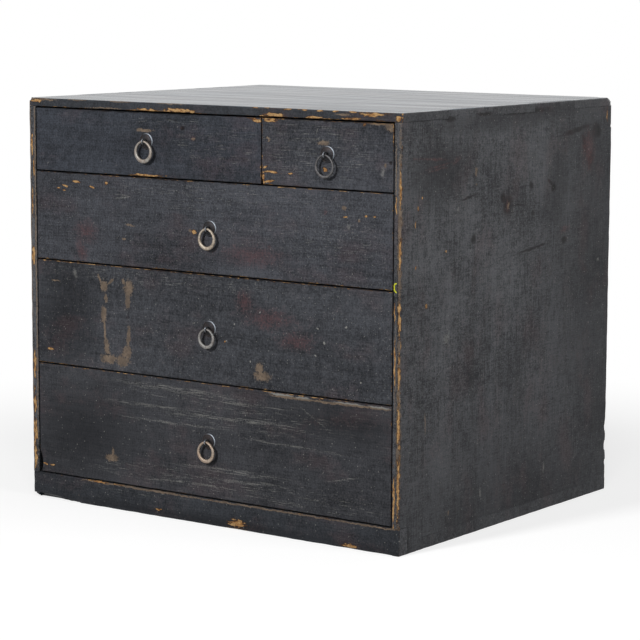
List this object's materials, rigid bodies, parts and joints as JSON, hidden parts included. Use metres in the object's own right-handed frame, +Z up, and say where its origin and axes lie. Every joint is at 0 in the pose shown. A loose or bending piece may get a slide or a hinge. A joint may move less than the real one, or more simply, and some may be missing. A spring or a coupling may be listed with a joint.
{
  "type": "small tansu chest",
  "caption": "Box-shaped lacquered softwood chest with drawers flush in its front, each sliding out by a hinged iron ring on a round rosette.",
  "frame": {"origin": "middle of the case's underside, on the surface that the chest stands on", "axes": "+X to the right along the front, +Y to the back, +Z up; the drawer fronts face -Y"},
  "size_m": [0.424, 0.3662, 0.382],
  "materials": {
    "black_lacquer": "thin worn black lacquer over softwood with the grain showing, satin, rubbed through to bare wood along the edges",
    "plain_softwood": "planed softwood without a finish, aged to light brown",
    "peg_wood": "split hardwood pegs without a finish",
    "ring_iron": "wrought iron handled to a dull grey-brown",
    "dark_iron": "wrought iron under black lacquer, bright where rubbed"
  },
  "bodies": {
    "case": {"top_board": "black_lacquer", "left_side_board": "black_lacquer", "right_side_board": "black_lacquer", "base_board": "black_lacquer", "front_rail": "black_lacquer", "back_board_lower": "black_lacquer", "back_board_middle": "black_lacquer", "back_board_upper": "black_lacquer", "shelf_upper": "plain_softwood", "shelf_middle": "plain_softwood", "shelf_lower": "plain_softwood", "top_partition": "plain_softwood", "bottom_runners": "plain_softwood", "case_pegs": "peg_wood", "back_pegs": "peg_wood"},
    "top_left_drawer": {"top_left_drawer_front": "black_lacquer", "top_left_drawer_left_side": "plain_softwood", "top_left_drawer_right_side": "plain_softwood", "top_left_drawer_back": "plain_softwood", "top_left_drawer_bottom": "plain_softwood", "top_left_drawer_pegs": "peg_wood", "top_left_drawer_rosette": "dark_iron", "top_left_drawer_eye_pin": "dark_iron"},
    "top_left_pull_ring": {"top_left_drawer_ring": "ring_iron"},
    "top_right_drawer": {"top_right_drawer_front": "black_lacquer", "top_right_drawer_left_side": "plain_softwood", "top_right_drawer_right_side": "plain_softwood", "top_right_drawer_back": "plain_softwood", "top_right_drawer_bottom": "plain_softwood", "top_right_drawer_pegs": "peg_wood", "top_right_drawer_rosette": "dark_iron", "top_right_drawer_eye_pin": "dark_iron"},
    "top_right_pull_ring": {"top_right_drawer_ring": "ring_iron"},
    "second_drawer": {"second_drawer_front": "black_lacquer", "second_drawer_left_side": "plain_softwood", "second_drawer_right_side": "plain_softwood", "second_drawer_back": "plain_softwood", "second_drawer_bottom": "plain_softwood", "second_drawer_pegs": "peg_wood", "second_drawer_rosette": "dark_iron", "second_drawer_eye_pin": "dark_iron"},
    "second_pull_ring": {"second_drawer_ring": "ring_iron"},
    "third_drawer": {"third_drawer_front": "black_lacquer", "third_drawer_left_side": "plain_softwood", "third_drawer_right_side": "plain_softwood", "third_drawer_back": "plain_softwood", "third_drawer_bottom": "plain_softwood", "third_drawer_pegs": "peg_wood", "third_drawer_rosette": "dark_iron", "third_drawer_eye_pin": "dark_iron"},
    "third_pull_ring": {"third_drawer_ring": "ring_iron"},
    "bottom_drawer": {"bottom_drawer_front": "black_lacquer", "bottom_drawer_left_side": "plain_softwood", "bottom_drawer_right_side": "plain_softwood", "bottom_drawer_back": "plain_softwood", "bottom_drawer_bottom": "plain_softwood", "bottom_drawer_pegs": "peg_wood", "bottom_drawer_rosette": "dark_iron", "bottom_drawer_eye_pin": "dark_iron"},
    "bottom_pull_ring": {"bottom_drawer_ring": "ring_iron"}
  },
  "joints": [
    {"name": "top_left_drawer_slide", "type": "slide", "parent": "case", "child": "top_left_drawer", "axis": [0, -1, 0], "range_m": [0, 0.3]},
    {"name": "top_left_ring_swing", "type": "hinge", "parent": "top_left_drawer", "child": "top_left_pull_ring", "pos_m": [-0.06855, -0.1839, 0.34665], "axis": [-1, 0, 0], "range_deg": [-8, 188]},
    {"name": "top_right_drawer_slide", "type": "slide", "parent": "case", "child": "top_right_drawer", "axis": [0, -1, 0], "range_m": [0, 0.3]},
    {"name": "top_right_ring_swing", "type": "hinge", "parent": "top_right_drawer", "child": "top_right_pull_ring", "pos_m": [0.13425, -0.1839, 0.34385], "axis": [-1, 0, 0], "range_deg": [-8, 188]},
    {"name": "second_drawer_slide", "type": "slide", "parent": "case", "child": "second_drawer", "axis": [0, -1, 0], "range_m": [0, 0.3]},
    {"name": "second_ring_swing", "type": "hinge", "parent": "second_drawer", "child": "second_pull_ring", "pos_m": [0.0047, -0.1839, 0.27155], "axis": [-1, 0, 0], "range_deg": [-8, 188]},
    {"name": "third_drawer_slide", "type": "slide", "parent": "case", "child": "third_drawer", "axis": [0, -1, 0], "range_m": [0, 0.3]},
    {"name": "third_ring_swing", "type": "hinge", "parent": "third_drawer", "child": "third_pull_ring", "pos_m": [0.004, -0.1839, 0.18075], "axis": [-1, 0, 0], "range_deg": [-8, 188]},
    {"name": "bottom_drawer_slide", "type": "slide", "parent": "case", "child": "bottom_drawer", "axis": [0, -1, 0], "range_m": [0, 0.3]},
    {"name": "bottom_ring_swing", "type": "hinge", "parent": "bottom_drawer", "child": "bottom_pull_ring", "pos_m": [0.0031, -0.1839, 0.0775], "axis": [-1, 0, 0], "range_deg": [-8, 188]}
  ]
}
